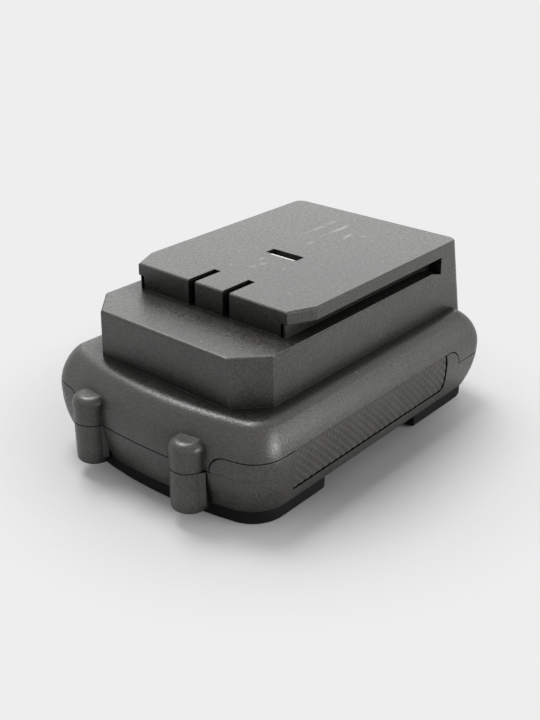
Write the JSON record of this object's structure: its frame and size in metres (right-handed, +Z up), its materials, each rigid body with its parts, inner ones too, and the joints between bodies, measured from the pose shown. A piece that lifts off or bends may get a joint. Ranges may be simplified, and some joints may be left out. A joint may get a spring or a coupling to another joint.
{
  "type": "power tool battery",
  "caption": "Slide-on battery pack with a stepped tower, rail grooves, terminal slots, latch window, front screw posts, grip panels, rubber feet and a release button.",
  "frame": {"origin": "under the middle of the pack, on the surface that it stands on", "axes": "+Z up, +Y from the terminal end to the release button, +X to the right seen from the button's end looking at the terminals"},
  "size_m": [0.0787, 0.1164, 0.05],
  "materials": {
    "shell": "fine grained",
    "grip": "textured",
    "foot_rubber": "matte",
    "cell": "shrink wrap",
    "holder": "moulded",
    "nickel": "rolled",
    "insulation": "fish paper",
    "foam": "closed-cell foam",
    "sensor": "epoxy bead",
    "board": "solder mask",
    "component": "moulded",
    "shunt_metal": "bare",
    "capacitor_can": "satin",
    "block": "moulded",
    "contact_metal": "plated",
    "steel": "zinc plated",
    "plunger_metal": "bright",
    "button": "fine grained"
  },
  "bodies": {
    "case": {"upper_shell": "shell", "lower_shell": "shell", "grip_panel_right": "grip", "grip_panel_left": "grip", "front_foot": "foot_rubber", "rear_foot": "foot_rubber", "cell_1": "cell", "cell_2": "cell", "cell_3": "cell", "cell_4": "cell", "cell_5": "cell", "cell_holder_right": "holder", "cell_holder_left": "holder", "strip_minus": "nickel", "strip_1_2": "nickel", "strip_2_3": "nickel", "strip_3_4": "nickel", "strip_4_5": "nickel", "strip_plus": "nickel", "insulation_right": "insulation", "insulation_left": "insulation", "lower_cell_pad": "foam", "upper_cell_pad": "foam", "temperature_sensor": "sensor", "circuit_board": "board", "board_screws": "steel", "power_transistors": "component", "controller_chip": "component", "shunt_resistor": "shunt_metal", "capacitor": "capacitor_can", "board_small_parts": "component", "terminal_block": "block", "positive_contact": "contact_metal", "negative_contact": "contact_metal", "case_screws": "steel", "button_spring": "steel"},
    "button": {"release_button": "button"},
    "plunger": {"release_plunger": "plunger_metal", "cam_pin": "steel"}
  },
  "joints": [
    {"name": "button_slide", "type": "slide", "parent": "case", "child": "button", "axis": [0, -1, 0], "range_m": [0, 0.003], "stiffness_N_per_m": 900, "springref_m": -0.004, "deforming": ["button_spring"]},
    {"name": "plunger_lift", "type": "slide", "parent": "case", "child": "plunger", "axis": [0, 0, 1], "range_m": [0, 0.0027]}
  ],
  "couplings": [
    {"joint": "plunger_lift", "follows": "button_slide", "ratio": 0.9}
  ]
}
